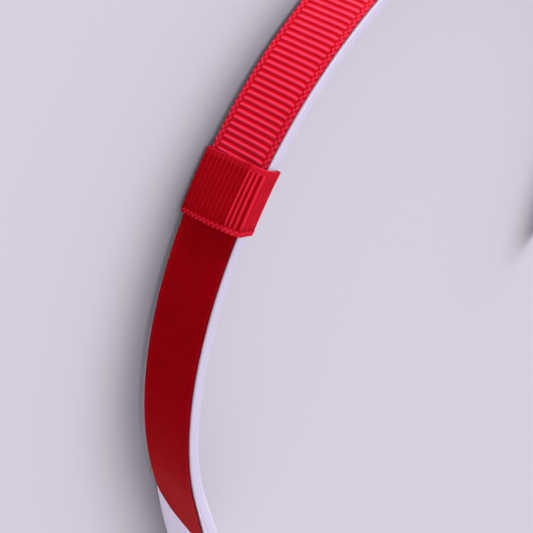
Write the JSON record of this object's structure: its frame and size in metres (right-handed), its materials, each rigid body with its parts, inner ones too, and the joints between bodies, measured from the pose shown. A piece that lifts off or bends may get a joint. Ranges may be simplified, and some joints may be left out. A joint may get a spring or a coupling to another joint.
{
  "type": "hoop headband",
  "caption": "Springy plastic hoop headband faced with ribbed and smooth ribbon, with a ribbon keeper loop wrapped round each arm.",
  "frame": {"origin": "centre of the footprint, on the surface that the headband lies on when it is on its side", "axes": "+Y from the tips towards the crown, +Z across the band's width, +X towards the right arm"},
  "size_m": [0.1364, 0.1138, 0.0144],
  "materials": {
    "hoop_plastic": "moulded, softly glossy",
    "ribbed_ribbon": "grosgrain with ribs across, slight sheen",
    "smooth_ribbon": "finely ribbed, satin sheen",
    "keeper_ribbon": "grosgrain with ribs along the band, slight sheen",
    "tape": "matt film",
    "glue": "dull, translucent"
  },
  "bodies": {
    "left_half": {"hoop_left": "hoop_plastic", "crown_tape_left": "tape", "crown_ribbon_left": "ribbed_ribbon", "arm_tape_left": "tape", "arm_ribbon_left": "smooth_ribbon"},
    "right_half": {"hoop_right": "hoop_plastic", "crown_tape_right": "tape", "crown_ribbon_right": "ribbed_ribbon", "arm_tape_right": "tape", "arm_ribbon_right": "smooth_ribbon"},
    "left_keeper": {"keeper_loop_left": "keeper_ribbon", "keeper_glue_left": "glue"},
    "right_keeper": {"keeper_loop_right": "keeper_ribbon", "keeper_glue_right": "glue"}
  },
  "joints": [
    {"name": "spread", "type": "hinge", "parent": "left_half", "child": "right_half", "pos_m": [0, 0.05686, 0.0072], "axis": [0, 0, 1], "range_deg": [0, 15], "stiffness_Nm_per_rad": 0.1},
    {"name": "left_keeper_slide", "type": "hinge", "parent": "left_half", "child": "left_keeper", "pos_m": [0.00665, -0.01491, 0.0072], "axis": [0, 0, 1], "range_deg": [-3.1, 3.1]},
    {"name": "right_keeper_slide", "type": "hinge", "parent": "right_half", "child": "right_keeper", "pos_m": [-0.00665, -0.01491, 0.0072], "axis": [0, 0, -1], "range_deg": [-3.1, 3.1]}
  ]
}
